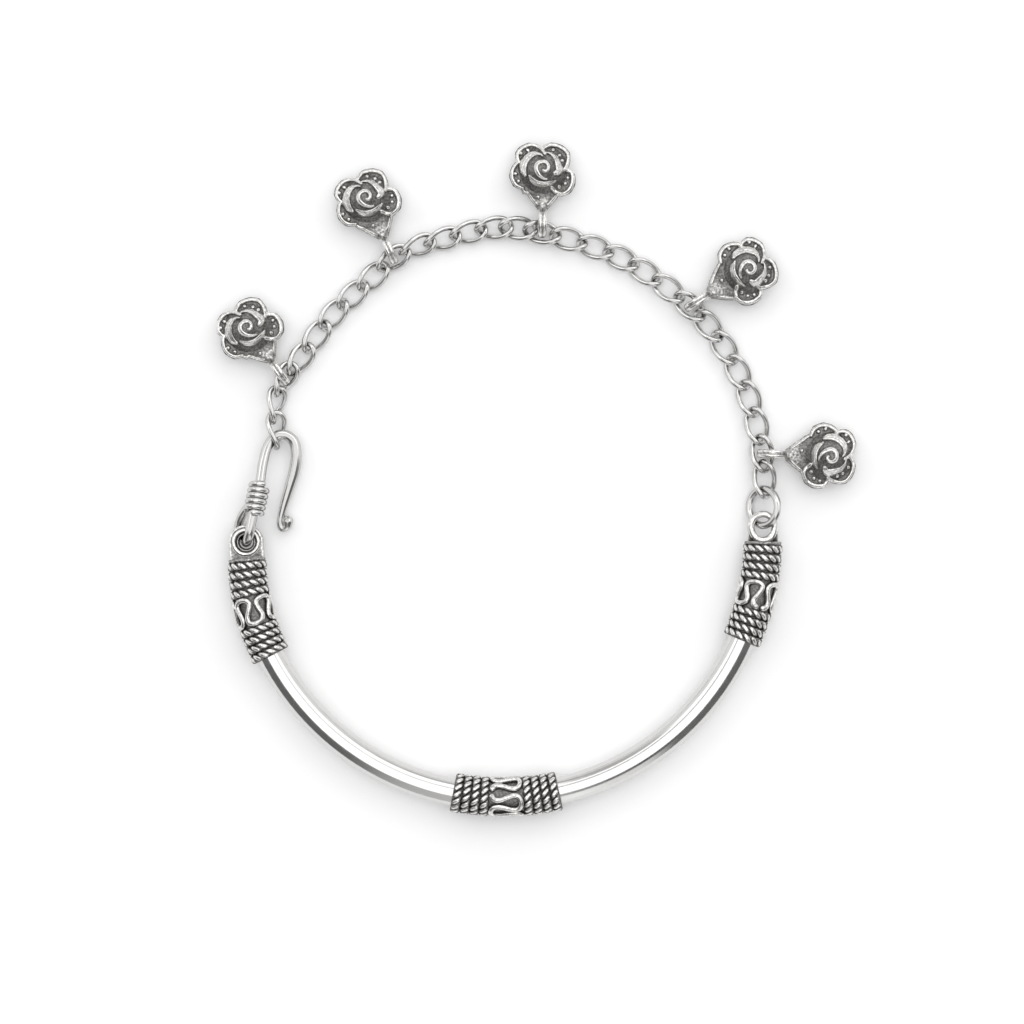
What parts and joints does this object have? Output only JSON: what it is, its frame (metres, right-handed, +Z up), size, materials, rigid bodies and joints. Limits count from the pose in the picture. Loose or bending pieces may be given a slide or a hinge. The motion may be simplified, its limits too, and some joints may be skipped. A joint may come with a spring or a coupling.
{
  "type": "chain and half bangle bracelet",
  "caption": "Silver bracelet lying flat: a polished half-circle bar with roped bead and end caps, closed by a curb chain with rose charms, a hook and a jump ring.",
  "frame": {"origin": "on the surface it lies on, under the middle of its box", "axes": "+Z up, through the wrist opening; +Y from the bangle bar's middle towards the chain; -X is the hook's side"},
  "size_m": [0.0686, 0.0722, 0.0045],
  "materials": {
    "bangle_bar": "polished sterling silver",
    "centre_bead": "oxidised sterling silver, bright on the raised ropes",
    "left_end_cap": "oxidised sterling silver, bright on the raised ropes",
    "right_end_cap": "oxidised sterling silver, bright on the raised ropes",
    "hook": "polished sterling silver",
    "hook_coil": "polished sterling silver",
    "jump_ring": "polished sterling silver",
    "links": "polished sterling silver",
    "charms": "oxidised cast silver, bright on the petal rims"
  },
  "bodies": {
    "root": {"bangle_bar": "bangle_bar", "centre_bead": "centre_bead", "left_end_cap": "left_end_cap", "right_end_cap": "right_end_cap", "hook": "hook", "hook_coil": "hook_coil", "jump_ring": "jump_ring", "link_01": "links", "link_02": "links", "link_03": "links", "link_04": "links", "link_05": "links", "link_06": "links", "link_07": "links", "link_08": "links", "link_09": "links", "link_10": "links", "link_11": "links", "link_12": "links", "link_13": "links", "link_14": "links", "link_15": "links", "link_16": "links", "link_17": "links", "link_18": "links", "link_19": "links", "link_20": "links", "link_21": "links", "link_22": "links", "link_23": "links", "link_24": "links", "link_25": "links", "link_26": "links", "link_27": "links", "link_28": "links", "charm_1": "charms", "charm_2": "charms", "charm_3": "charms", "charm_4": "charms", "charm_5": "charms"}
  },
  "joints": []
}
